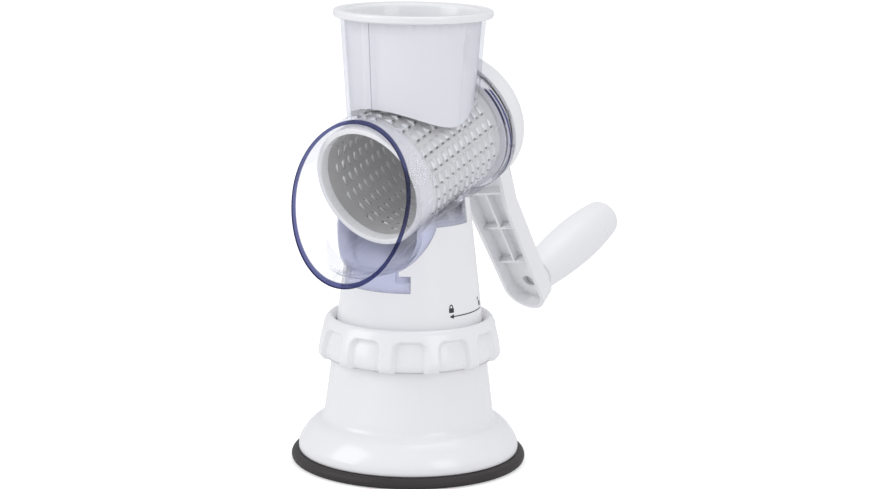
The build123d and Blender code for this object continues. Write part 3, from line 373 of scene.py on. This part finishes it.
def print_patch(name, corner_low, corner_high, round_by):
    """A printed block: a superellipse-cornered rectangle filled by rays from its middle."""
    turn = np.linspace(0, 2 * math.pi, 48, endpoint=False)[:, None]
    share = np.linspace(0, 1, 5)[None, :]
    mid_a, mid_z = (corner_low[0] + corner_high[0]) / 2, (corner_low[1] + corner_high[1]) / 2
    half_a, half_z = (corner_high[0] - corner_low[0]) / 2, (corner_high[1] - corner_low[1]) / 2
    cosine, sine = np.cos(turn), np.sin(turn)
    edge = (np.abs(cosine) ** round_by + np.abs(sine) ** round_by) ** (-1 / round_by)
    across, z = mid_a + half_a * edge * cosine * share, mid_z + half_z * edge * sine * share
    return surface(name, on_column(across, z), round_rows=True)


def ink_material():
    """Pad printed ink: near black, faintly mottled, satin."""
    material, tree, shader = blank_material("mark_ink")
    mottle = noise(tree, 3000.0, 2.0)
    tree.links.new(tone(tree, mottle, INK, (0.035, 0.035, 0.045, 1.0)), shader.inputs["Base Color"])
    tree.links.new(spread(tree, mottle, 0.35, 0.5), shader.inputs["Roughness"])
    return material


bow = np.radians(np.linspace(0, 180, 17))
mark_pieces = [
    print_patch("lock_block", (69.6, 87.0), (74.4, 89.5), 8.0),
    print_band("lock_bow", 72.0 + BOW_HALF_W * np.cos(bow), 89.9 + BOW_RISE * np.sin(bow), STROKE),
    print_band("lock_legs_left", np.full(3, 70.65), np.linspace(89.3, 89.95, 3), STROKE),
    print_band("lock_legs_right", np.full(3, 73.35), np.linspace(89.3, 89.95, 3), STROKE),
    print_patch("open_block", (111.0, 86.4), (115.8, 88.9), 8.0),
    print_band("open_bow", 109.7 + BOW_HALF_W * np.cos(bow), 90.1 + BOW_RISE * np.sin(bow), STROKE),
    print_band("open_leg", np.full(3, 111.05), np.linspace(88.7, 90.15, 3), STROKE),
    print_band("turn_line", np.linspace(73.0, 116.5, 40), np.full(40, LINE_Z), 0.28),
]
HEAD_TIP = 69.9
HEAD_RUN = 4.2
HEAD_HALF_W = 1.25
head_side = np.linspace(-1, 1, 5)[None, :]
head_run = np.linspace(0, 1, 6)[:, None]
head_angle = HEAD_TIP + HEAD_RUN * head_run + 0 * head_side
head_z = LINE_Z + HEAD_HALF_W * head_run * head_side
mark_pieces.append(surface("turn_head", on_column(head_angle, head_z)))
ink = ink_material()
for mark in mark_pieces:
    dress(mark, "base", "white_abs", ink)

# ---------------------------------------------------------------- clear housing
# Hopper, barrel, flared outlet and trough in one clear styrene moulding with a
# blue-violet cast, and painted navy shade at the outlet's rim and the barrel's back
# bead, where light runs along its edges.
AXIS_Z = 165.4
TILT = math.radians(18.5)
RIM_Y, RIM_Z, RIM_LEAN = -52.9, 148.7, math.radians(10.9)
# bands of painted navy shade at the outlet's rim and the barrel's back bead
RIM_SHADE_HALF_W, RIM_SHADE_TOP = 1.0, 205.0
BEAD_ALONG = -38.2
BEAD_SHADE_HALF_W, BEAD_SHADE_TOP = 0.8, 200.0
FOOT_R, FOOT_TOP = 39.35, 136.0
CLEAR_DEEP = (0.97, 0.974, 0.99, 1.0)
CLEAR_PALE = (0.98, 0.982, 0.995, 1.0)
# painted light: violet haze on the foot, for lamplight come in through the clear walls
PAINTED_FOOT_VIOLET = (0.66, 0.68, 0.86, 1.0)
# painted shade: navy colour for the rim and bead bands
PAINTED_EDGE_NAVY = (0.06, 0.065, 0.18, 1.0)
FACE_ON_CAST = (0.997, 0.997, 1.0, 1.0)
SLANTED_CAST = (0.83, 0.838, 0.88, 1.0)
# painted shade: the see-through colour on the rim and bead bands
PAINTED_EDGE_CAST = (0.1, 0.11, 0.26, 1.0)


def worked_out(tree, operation, first, second=0.0):
    """A Math node on two sockets or numbers, by the name of its operation."""
    made = tree.nodes.new("ShaderNodeMath")
    made.operation = operation
    for socket, value in zip(made.inputs, (first, second)):
        if isinstance(value, bpy.types.NodeSocket):
            tree.links.new(value, socket)
        else:
            socket.default_value = value
    return made.outputs[0]


def worked_out_vector(tree, operation, first, second=(0.0, 0.0, 0.0)):
    """A Vector Math node on a socket and a constant vector, by the name of its operation."""
    made = tree.nodes.new("ShaderNodeVectorMath")
    made.operation = operation
    tree.links.new(first, made.inputs[0])
    made.inputs[1].default_value = second
    return made.outputs


def faded(tree, value, none_at, full_at):
    """0 where a length is none_at mm and 1 where it is full_at mm, straight between them."""
    made = node(tree, "MapRange", Value=value)
    made.inputs["From Min"].default_value = none_at * MM
    made.inputs["From Max"].default_value = full_at * MM
    return made.outputs[0]


def tinted(tree, factor, colour, tint):
    """A colour socket that turns to a tint as the factor goes from 0 to 1. A Mix node has its two
    colours in sockets 6 and 7 and gives the mixed one as output 2."""
    made = tree.nodes.new("ShaderNodeMix")
    made.data_type = "RGBA"
    tree.links.new(factor, made.inputs["Factor"])
    tree.links.new(colour, made.inputs[6])
    made.inputs[7].default_value = tint
    return made.outputs[2]


def either(tree, factor, first, second):
    """The first shader where the factor is 0, and the second where it is 1."""
    made = tree.nodes.new("ShaderNodeMixShader")
    for socket, source in zip(made.inputs, (factor, first, second)):
        tree.links.new(source, socket)
    return made.outputs[0]


def plane_mask(tree, normal, level, half_w, top):
    """1 within half_w mm of the plane where the point's distance along a normal equals level mm,
    and 0 beyond or above the top: (half_w - |p.n - level|) stretched and clamped."""
    place = tree.nodes.new("ShaderNodeTexCoord").outputs["Object"]
    height = node(tree, "SeparateXYZ", Vector=place).outputs["Z"]
    below = faded(tree, height, top + 0.5, top - 0.5)
    along = worked_out_vector(tree, "DOT_PRODUCT", place, normal)["Value"]
    away = worked_out(tree, "ABSOLUTE", worked_out(tree, "SUBTRACT", along, level * MM))
    band = faded(tree, away, half_w + 0.35, half_w - 0.35)
    return worked_out(tree, "MULTIPLY", band, below)


def foot_mask(tree, reach, top):
    """1 for points nearer the upright axis than reach mm and lower than top mm, and 0 elsewhere."""
    place = tree.nodes.new("ShaderNodeTexCoord").outputs["Object"]
    flat = worked_out_vector(tree, "MULTIPLY", place, (1.0, 1.0, 0.0))["Vector"]
    near = faded(tree, worked_out_vector(tree, "LENGTH", flat)["Value"], reach + 0.1, reach - 0.1)
    height = node(tree, "SeparateXYZ", Vector=place).outputs["Z"]
    low = faded(tree, height, top + 6.0, top - 6.0)
    return worked_out(tree, "MULTIPLY", near, low)


def clear_material():
    """Clear SAN: smooth and refracting, a breath of blue in its walls, with a slow wander in its gloss.
    Painted shade gathers to navy at the outlet's rim and at the barrel's back bead. Its foot, which
    stands in the column, is hazy and painted violet, as painted light for lamplight come in through
    the blue-violet walls. Light on its way inside passes straight through."""
    material, tree, shader = blank_material("housing_clear")
    flow = noise(tree, 40.0, 2.0)
    foot = foot_mask(tree, FOOT_R, FOOT_TOP)
    # painted light: the foot's colour turns violet
    body = tinted(tree, foot, tone(tree, flow, CLEAR_DEEP, CLEAR_PALE), PAINTED_FOOT_VIOLET)
    rim_normal = (0.0, -math.cos(RIM_LEAN), math.sin(RIM_LEAN))
    rim_level = RIM_Y * rim_normal[1] + RIM_Z * rim_normal[2]
    rim = plane_mask(tree, rim_normal, rim_level, RIM_SHADE_HALF_W, RIM_SHADE_TOP)
    axis_normal = (0.0, -math.cos(TILT), -math.sin(TILT))
    bead_level = -AXIS_Z * math.sin(TILT) + BEAD_ALONG
    bead = plane_mask(tree, axis_normal, bead_level, BEAD_SHADE_HALF_W, BEAD_SHADE_TOP)
    # painted shade: 1 on the rim and bead bands, where the colour turns navy
    edges = worked_out(tree, "MAXIMUM", rim, bead)
    tree.links.new(tinted(tree, edges, body, PAINTED_EDGE_NAVY), shader.inputs["Base Color"])
    tree.links.new(spread(tree, flow, 0.0, 0.008), shader.inputs["Roughness"])
    # painted light: the foot lets less light through, so its painted violet shows
    tree.links.new(spread(tree, foot, 1.0, 0.25), shader.inputs["Transmission Weight"])
    shader.inputs["IOR"].default_value = 1.3
    bumped(tree, shader, noise(tree, 120.0, 1.0), 0.01, 0.0002)
    ray = tree.nodes.new("ShaderNodeLightPath").outputs
    soft = worked_out(tree, "MAXIMUM", ray["Is Shadow Ray"], ray["Is Diffuse Ray"])
    open_share = worked_out(tree, "MAXIMUM", soft, spread(tree, foot, 0.82, 0.1))
    slant = node(tree, "LayerWeight", Blend=0.25).outputs["Facing"]
    # the see-through colour also turns to painted navy shade on the rim and bead bands
    cast = tinted(tree, edges, tone(tree, slant, FACE_ON_CAST, SLANTED_CAST), PAINTED_EDGE_CAST)
    open_way = node(tree, "BsdfTransparent", Color=cast)
    mixed = either(tree, open_share, shader.outputs[0], open_way.outputs[0])
    tree.links.new(mixed, tree.nodes["Material Output"].inputs[0])
    return material


housing = softened("housing", "clear_housing", 25.0)
dress(housing, "base", "clear_plastic", clear_material(), "clear_housing")
SEAM_HALF_W = 0.2
SEAM_PROUD = 0.1
SEAM_SINK = 0.1
SEAM_OUTWARD = np.array([-1.0, 0.2])
HOPPER_MOUTH_Z, HOPPER_MOUTH_R, HOPPER_TAPER = 238.6, 38.3, 0.0728
HOPPER_SEAM_TOP, HOPPER_SEAM_FOOT = 238.2, 193.2
BARREL_SEAM = [(-35.9, 191.95), (-39.05, 190.9), (-42.2, 189.85), (-45.0, 188.75)]


def seam(name, path):
    """A fine raised line along a path of (y, z) in the plane x = 0: a flat-topped strip that stands
    proud along the path's normal, narrows towards its top and has its foot sunk a little."""
    path = np.asarray(path, float)
    run = np.gradient(path, axis=0)
    run /= np.linalg.norm(run, axis=1, keepdims=True)
    normal = np.stack([-run[:, 1], run[:, 0]], axis=-1)
    normal *= np.sign(normal @ SEAM_OUTWARD)[:, None]
    foot, top = (SEAM_HALF_W, -SEAM_SINK), (SEAM_HALF_W * 0.6, SEAM_PROUD)
    section = np.array([(-foot[0], foot[1]), (-top[0], top[1]), top, foot])
    off = path[:, None, :] + normal[:, None, :] * section[None, :, 1:]
    across = np.broadcast_to(section[None, :, 0], off.shape[:2])
    return surface(name, np.concatenate([across[..., None], off], axis=-1), round_columns=True)


def seam_material():
    """The parting line: a muted blue grey, painted shade for the same clear plastic seen edge on."""
    material, tree, shader = blank_material("seam_grey")
    wander = noise(tree, 200.0)
    grey = tone(tree, wander, (0.3, 0.31, 0.36, 1.0), (0.42, 0.43, 0.48, 1.0))
    tree.links.new(grey, shader.inputs["Base Color"])
    tree.links.new(spread(tree, wander, 0.2, 0.3), shader.inputs["Roughness"])
    return material


seam_grey = seam_material()
seam_z = np.linspace(HOPPER_SEAM_TOP, HOPPER_SEAM_FOOT, 16)
seam_y = HOPPER_TAPER * (HOPPER_MOUTH_Z - seam_z) - HOPPER_MOUTH_R
dress(seam("hopper_seam", np.stack([seam_y, seam_z], axis=-1)), "base", "clear_plastic", seam_grey)
dress(seam("barrel_seam", BARREL_SEAM), "base", "clear_plastic", seam_grey)

# ------------------------------------------------------------------------- drum
# A stainless sheet rolled to a tube and punched with rows of grating teeth, each
# a raised lip over an oval opening, held in a white ring and on a white hub.
DRUM_R = 32.0


def on_barrel(across, up, along):
    """Row frame points, in mm, of places across, up and along the tilted barrel; along runs to
    the outlet."""
    return np.stack(
        np.broadcast_arrays(
            across,
            -along * math.cos(TILT) - up * math.sin(TILT),
            AXIS_Z - along * math.sin(TILT) + up * math.cos(TILT),
        ),
        axis=-1,
    )


def barrel_turned(name, outline, steps=160, sharp=40.0):
    """An outline of (along, radius) points swept round the barrel's axis."""
    outline = np.asarray(outline, float)
    angle = np.linspace(0, 2 * math.pi, steps, endpoint=False)[:, None]
    radius, along = outline[None, :, 1], outline[None, :, 0]
    points = on_barrel(radius * np.sin(angle), radius * np.cos(angle), along + 0 * angle)
    return surface(name, points, round_rows=True, sharp=sharp)


TOOTH_ROWS = 24
TEETH_PER_ROW = 11
TOOTH_PITCH = 5.2
ROW_START = 24.6
TOOTH_HALF_LEN = 2.9
TOOTH_HALF_W = 1.35
TOOTH_RISE = 1.3
TOOTH_SINK = 0.15
LIP_SHEET = 0.42
LIP_ALONG, LIP_ACROSS = 6, 7


def grating_lips(name):
    """All the teeth's lips in one mesh. Across a lip u runs -1 to 1 and along it v runs 0 to 1. Its height is
    rise * (1 - u^2)^0.6 * sin(v * 100 deg)^0.8, and its half width narrows to the closed end as
    sqrt(1 - (1-v)^2), so that it springs out of the sheet there and stands open at the other."""
    row = np.arange(TOOTH_ROWS)
    step = np.arange(TEETH_PER_ROW)
    u = np.linspace(-1, 1, LIP_ACROSS)
    v = np.linspace(0, 1, LIP_ALONG)
    row, step, v, u = np.meshgrid(row, step, v, u, indexing="ij")
    width = TOOTH_HALF_W * np.sqrt(np.clip(1 - (1 - 0.97 * v - 0.03) ** 2, 0, 1))
    rise = TOOTH_RISE * np.clip(1 - u**2, 0, 1) ** 0.6 * np.sin(np.radians(100) * v) ** 0.8
    along = ROW_START - step * TOOTH_PITCH - (row % 2) * TOOTH_PITCH / 2 + u * width
    turn = row * 2 * math.pi / TOOTH_ROWS + (v - 0.5) * 2 * TOOTH_HALF_LEN / DRUM_R
    radius = DRUM_R - TOOTH_SINK + rise
    points = on_barrel(radius * np.sin(turn), radius * np.cos(turn), along).reshape(-1, 3)
    ids = np.arange(len(points)).reshape(-1, LIP_ALONG, LIP_ACROSS)
    faces = np.stack([ids[:, :-1, :-1], ids[:, 1:, :-1], ids[:, 1:, 1:], ids[:, :-1, 1:]], axis=-1)
    mesh = bpy.data.meshes.new(name)
    mesh.from_pydata(points * MM, [], faces.reshape(-1, 4))
    finish_mesh(mesh, 60.0)
    piece = bpy.data.objects.new(name, mesh)
    bpy.context.collection.objects.link(piece)
    thick = piece.modifiers.new("sheet", "SOLIDIFY")
    thick.thickness = LIP_SHEET * MM
    thick.offset = 0.0
    # the cut edges take the second, near black material
    thick.material_offset_rim = 1
    return piece


def paint_mouth_shade(lips, mouth_shade_and_edge_steel):
    """Gives a second, near black material to the faces next to each lip's mouth, but for its two
    corners, as painted shade for the shadow in the opening, and to the cut edge of the sheet."""
    lips.data.materials.append(mouth_shade_and_edge_steel)
    mouth = np.zeros((TOOTH_ROWS * TEETH_PER_ROW, LIP_ALONG - 1, LIP_ACROSS - 1), int)
    mouth[:, -1, 1:-1] = 1
    lips.data.polygons.foreach_set("material_index", mouth.reshape(-1))


def drum_steel(name, dark, light, metallic):
    """Rolled stainless: fine grain drawn out round the drum, slight haze, a satin gloss."""
    material, tree, shader = blank_material(name)
    place = tree.nodes.new("ShaderNodeTexCoord").outputs["Object"]
    turned_place = node(tree, "Mapping", Vector=place)
    turned_place.inputs["Rotation"].default_value = (-TILT, 0, 0)
    turned_place.inputs["Scale"].default_value = (0.06, 1.0, 0.06)
    grain = node(tree, "TexNoise", Vector=turned_place.outputs[0], Scale=2600.0, Detail=3.0)
    haze = noise(tree, 45.0, 3.0)
    tree.links.new(tone(tree, grain.outputs[0], dark, light), shader.inputs["Base Color"])
    tree.links.new(spread(tree, haze, 0.26, 0.4), shader.inputs["Roughness"])
    shader.inputs["Metallic"].default_value = metallic
    bumped(tree, shader, grain.outputs[0], 0.06, 0.0001)
    return material


# sheet and lips are one steel in two tones: the lips' lighter, more metallic copy is painted highlight on the
# raised teeth
sheet_steel = drum_steel("drum_sheet_steel", (0.7, 0.695, 0.69, 1.0), (0.84, 0.835, 0.83, 1.0), 0.3)
lit_lip_steel = drum_steel("drum_lip_steel", (0.86, 0.86, 0.87, 1.0), (0.93, 0.93, 0.94, 1.0), 0.55)
# painted shade: near black steel on each lip's mouth for the shadow in its opening, also on the cut edges
mouth_shade_and_edge_steel = drum_steel("drum_edge_steel", (0.1, 0.098, 0.096, 1.0), (0.17, 0.167, 0.165, 1.0), 0.5)
lips = grating_lips("drum_lips")
dress(lips, "crank", "stainless", lit_lip_steel)
paint_mouth_shade(lips, mouth_shade_and_edge_steel)
sleeve = softened("drum_sheet", "drum_sleeve", 30.0)
dress(sleeve, "crank", "stainless", sheet_steel, "drum_sleeve")

FRONT_RING = [
    (27.5, 32.05), (27.5, 33.1), (39.4, 33.1), (39.4, 30.4), (34.3, 29.4), (34.3, 32.05), (27.5, 32.05),
]
drum_white = moulded_white("drum_white", rough=(0.22, 0.32), coat=0.15)
front_ring = barrel_turned("drum_ring", rounded(FRONT_RING, 0.5), 180)
dress(front_ring, "crank", "white_abs", drum_white, "drum_front_ring")
paint(drum_white, "drum_rear_hub")

# ------------------------------------------------- bearing plate, bush and shaft
# A white plate closes the back of the barrel and carries a low-friction bush for
# the drum's shaft. Lugs on the housing grip the plate's rim.
paint(moulded_white("plate_white", rough=(0.25, 0.35), coat=0.1), "bearing_plate")


def bush_material():
    """Acetal: milky, waxy and slightly see-through."""
    material, tree, shader = blank_material("bush_acetal")
    cloud = noise(tree, 120.0)
    milk = tone(tree, cloud, (0.72, 0.71, 0.66, 1.0), (0.8, 0.79, 0.75, 1.0))
    tree.links.new(milk, shader.inputs["Base Color"])
    tree.links.new(spread(tree, cloud, 0.4, 0.5), shader.inputs["Roughness"])
    return material


paint(bush_material(), "shaft_bush")

# ------------------------------------------------------------------------ crank
# Head and arm are one thick white moulding. The head is a shallow dome over the
# barrel's back, and the arm is a channel with ribs, open towards the column.
crank_white = moulded_white("crank_white")
crank = softened("crank_arm", "crank", 18.0)
dress(crank, "crank", "white_abs", crank_white, "crank")
paint(crank_white, "hub_cap")

# ------------------------------------------------------------------------- grip
# A hollow white handle that swells to fill the palm. It spins on the steel
# spindle, and a press-in plug closes its tail.
GRIP_X = -19.01
GRIP_UP = -134.32
GRIP_FRONT = 112.47
GRIP_OUTLINE = [
    (0.0, 4.1), (0.0, 9.6), (0.6, 10.5), (2.2, 10.9), (9.7, 11.7), (21.7, 12.9), (35.7, 13.65),
    (46.7, 13.8), (58.7, 13.2), (68.7, 12.2), (74.2, 11.4), (76.5, 10.4), (77.6, 9.2), (77.8, 8.5),
]


def grip_turned(name, outline, steps=96, sharp=40.0):
    """An outline of (distance behind the grip's front, radius) swept round the grip's axis."""
    outline = np.asarray(outline, float)
    angle = np.linspace(0, 2 * math.pi, steps, endpoint=False)[:, None]
    radius, behind = outline[None, :, 1], outline[None, :, 0]
    across, up = GRIP_X + radius * np.sin(angle), GRIP_UP + radius * np.cos(angle)
    points = on_barrel(across, up, -GRIP_FRONT - behind + 0 * angle)
    return surface(name, points, round_rows=True, sharp=sharp)


grip_white = moulded_white("grip_white", rough=(0.24, 0.34), coat=0.15)
GRIP_BORE = [(75.6, 8.45), (75.6, 6.6), (72.0, 6.6), (72.0, 3.9), (0.0, 4.1)]
grip = grip_turned("grip_body", np.vstack([GRIP_OUTLINE[:1], smooth_path(GRIP_OUTLINE[1:], 5), GRIP_BORE]))
dress(grip, "grip", "white_abs", grip_white, "grip")
paint(grip_white, "grip_plug")

# ----------------------------------------------------------------------- pusher
# A deep white cup that slides in the hopper and presses food on the drum. Its
# rim overhangs the hopper, and its floor is curved to the barrel.
pusher = softened("pusher_cup", "pusher")
dress(pusher, "pusher", "white_abs", moulded_white("pusher_white"), "pusher")

# ------------------------------------------------------- table, light and camera
# A white table that runs far past the view, a broad soft lamp to the left, one to
# the right and one above.
TABLE_REACH = 9.0
TABLE_DROP = 0.0003


def table_material():
    """Plain white table: pale, dull, with the faintest mottle."""
    material, tree, shader = blank_material("table_white")
    mottle = noise(tree, 3.0)
    white = tone(tree, mottle, (0.86, 0.86, 0.86, 1.0), (0.88, 0.88, 0.88, 1.0))
    tree.links.new(white, shader.inputs["Base Color"])
    shader.inputs["Roughness"].default_value = 0.8
    shader.inputs["Specular IOR Level"].default_value = 0.1
    glow = node(tree, "Emission", Color=(1.0, 1.0, 1.0, 1.0), Strength=0.42)
    lit = tree.nodes.new("ShaderNodeAddShader")
    tree.links.new(shader.outputs[0], lit.inputs[0])
    tree.links.new(glow.outputs[0], lit.inputs[1])
    ray = tree.nodes.new("ShaderNodeLightPath").outputs
    through = worked_out(tree, "MAXIMUM", ray["Is Camera Ray"], ray["Is Transmission Ray"])
    seen = either(tree, through, shader.outputs[0], lit.outputs[0])
    tree.links.new(seen, tree.nodes["Material Output"].inputs[0])
    return material


corners = [(x * TABLE_REACH, y * TABLE_REACH, 0) for x, y in ((-1, -1), (1, -1), (1, 1), (-1, 1))]
table_mesh = bpy.data.meshes.new("table")
table_mesh.from_pydata(corners, [], [(0, 1, 2, 3)])
table = bpy.data.objects.new("table", table_mesh)
table.location = (0, 0, -TABLE_DROP)
bpy.context.collection.objects.link(table)
table.data.materials.append(table_material())


def soft_lamp(name, place, aim, width, height, watts):
    """Rectangular lamp at a place, facing a point."""
    light = bpy.data.lights.new(name, "AREA")
    light.shape = "RECTANGLE"
    light.size, light.size_y = width, height
    light.energy = watts
    lamp = bpy.data.objects.new(name, light)
    lamp.location = place
    lamp.rotation_euler = Vector(np.subtract(aim, place)).to_track_quat("-Z", "Y").to_euler()
    bpy.context.collection.objects.link(lamp)
    return lamp


soft_lamp("lamp_left", (-1.1, -1.5, 1.1), (0, 0, 0.12), 1.2, 1.6, 12.0)
soft_lamp("lamp_right", (2.1, -0.5, 1.0), (0, 0, 0.12), 1.0, 1.6, 8.0)
soft_lamp("lamp_top", (0.2, 0.4, 2.2), (0, 0, 0.1), 1.6, 1.6, 6.5)

world = bpy.data.worlds.new("studio")
world.use_nodes = True
sky = world.node_tree
sky.nodes.clear()
room_light = node(sky, "Background", Color=(0.97, 0.975, 1.0, 1.0), Strength=0.74)
backdrop = node(sky, "Background", Color=(1.0, 1.0, 1.0, 1.0), Strength=1.0)
camera_ray = sky.nodes.new("ShaderNodeLightPath").outputs["Is Camera Ray"]
sky_out = sky.nodes.new("ShaderNodeOutputWorld")
sky.links.new(either(sky, camera_ray, room_light.outputs[0], backdrop.outputs[0]), sky_out.inputs[0])
bpy.context.scene.world = world

CAMERA_DISTANCE = 1.26229
CAMERA_HEIGHT = 0.3679
CAMERA_AROUND = math.radians(36.67)
CAMERA_YAW = math.radians(-0.59)
CAMERA_DOWN = math.radians(11.23)
CAMERA_ROLL = math.radians(0.78)
FOCAL_PIXELS = 2415.68
PHOTO_WIDTH = 870
SENSOR_WIDTH = 36.0
facing = CAMERA_AROUND + CAMERA_YAW
level = math.cos(CAMERA_DOWN)
forward = np.array([-math.sin(facing) * level, math.cos(facing) * level, -math.sin(CAMERA_DOWN)])
level_right = np.array([math.cos(facing), math.sin(facing), 0.0])
level_up = np.cross(level_right, forward)
right = math.cos(CAMERA_ROLL) * level_right + math.sin(CAMERA_ROLL) * level_up
up = -math.sin(CAMERA_ROLL) * level_right + math.cos(CAMERA_ROLL) * level_up
view = bpy.data.cameras.new("photo_view")
view.sensor_width = SENSOR_WIDTH
view.lens = FOCAL_PIXELS / PHOTO_WIDTH * SENSOR_WIDTH
view.clip_start, view.clip_end = 0.05, 40.0
camera = bpy.data.objects.new("photo_view", view)
camera.location = (
    CAMERA_DISTANCE * math.sin(CAMERA_AROUND),
    -CAMERA_DISTANCE * math.cos(CAMERA_AROUND),
    CAMERA_HEIGHT,
)
camera.rotation_euler = Matrix(np.column_stack([right, up, -forward]).tolist()).to_euler()
bpy.context.collection.objects.link(camera)
bpy.context.scene.camera = camera
bpy.context.scene.view_settings.view_transform = "Standard"
